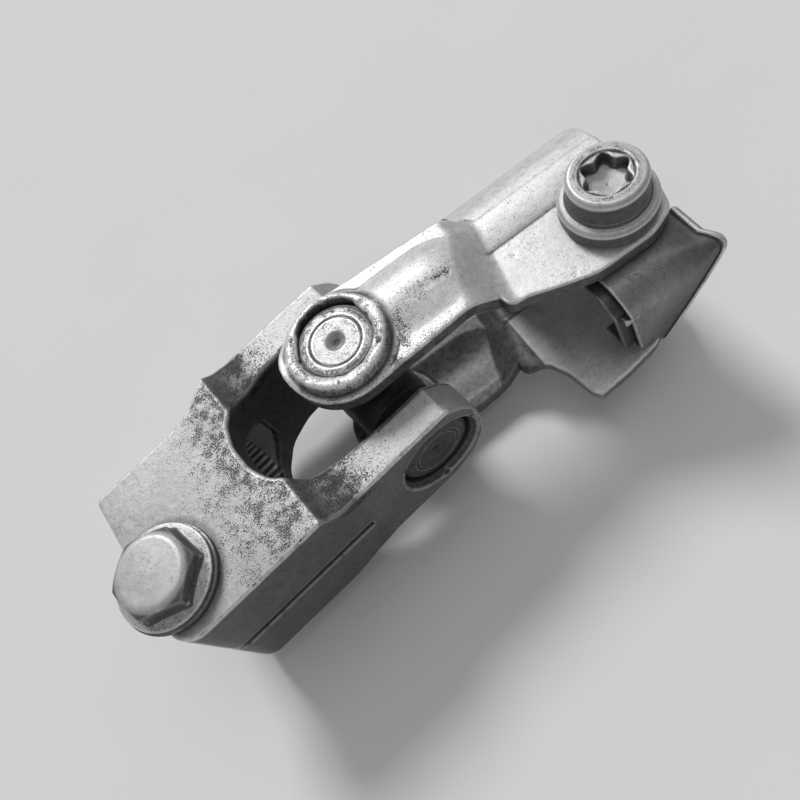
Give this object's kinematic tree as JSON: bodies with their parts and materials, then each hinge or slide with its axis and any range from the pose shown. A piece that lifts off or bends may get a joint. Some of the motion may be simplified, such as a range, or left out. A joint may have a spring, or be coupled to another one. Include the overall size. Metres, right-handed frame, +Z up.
{
  "type": "universal joint",
  "caption": "Steering-shaft universal joint with a forged split clamp yoke, a pressed steel side-entry yoke, needle-bearing cross and clamp bolts",
  "frame": {"origin": "bottom centre of the part's bounding box; the crossing point of the two bearing axes is above it at the centre of the cross", "axes": "+X from the clamp yoke to the pressed yoke, +Y along the clamp yoke's bearing axis, +Z up, along the pressed yoke's bearing axis"},
  "size_m": [0.1152, 0.0506, 0.0436],
  "materials": {
    "forged_steel": "zinc-coated forging, worn and speckled",
    "pressed_steel": "zinc-coated pressed plate, worn",
    "bolt_steel": "zinc-coated, lightly scuffed",
    "washer_steel": "zinc-coated",
    "spring_steel": "thin bent sheet, zinc-coated",
    "nut_steel": "zinc-coated",
    "cross_steel": "ground trunnions on a dark forging",
    "cup_steel": "drawn and hardened, satin",
    "roller_steel": "ground and polished",
    "pad_nylon": "natural nylon",
    "seal_rubber": "matt black rubber"
  },
  "bodies": {
    "clamp_yoke_body": {"clamp_yoke": "forged_steel", "pinch_bolt": "bolt_steel", "pinch_bolt_washer": "washer_steel", "bearing_cup_ear_near": "cup_steel", "bearing_cup_ear_far": "cup_steel", "needle_rollers_ear_near": "roller_steel", "needle_rollers_ear_far": "roller_steel", "thrust_pad_ear_near": "pad_nylon", "thrust_pad_ear_far": "pad_nylon", "bearing_seal_ear_near": "seal_rubber", "bearing_seal_ear_far": "seal_rubber"},
    "cross_body": {"cross": "cross_steel"},
    "pressed_yoke_body": {"pressed_yoke": "pressed_steel", "bearing_cup_arm_top": "cup_steel", "bearing_cup_arm_bottom": "cup_steel", "needle_rollers_arm_top": "roller_steel", "needle_rollers_arm_bottom": "roller_steel", "thrust_pad_arm_top": "pad_nylon", "thrust_pad_arm_bottom": "pad_nylon", "bearing_seal_arm_top": "seal_rubber", "bearing_seal_arm_bottom": "seal_rubber", "clamp_bolt": "bolt_steel", "clamp_nut": "nut_steel", "shaft_clip": "spring_steel"}
  },
  "joints": [
    {"name": "ear_axis_hinge", "type": "hinge", "parent": "clamp_yoke_body", "child": "cross_body", "pos_m": [-0.00209, 0.00574, 0.02048], "axis": [0, 1, 0], "range_deg": [-33.8, 36.2]},
    {"name": "arm_axis_hinge", "type": "hinge", "parent": "cross_body", "child": "pressed_yoke_body", "pos_m": [-0.00209, 0.00574, 0.02048], "axis": [-0.0209, 0, 0.9998], "range_deg": [-25.8, 44.2]}
  ]
}
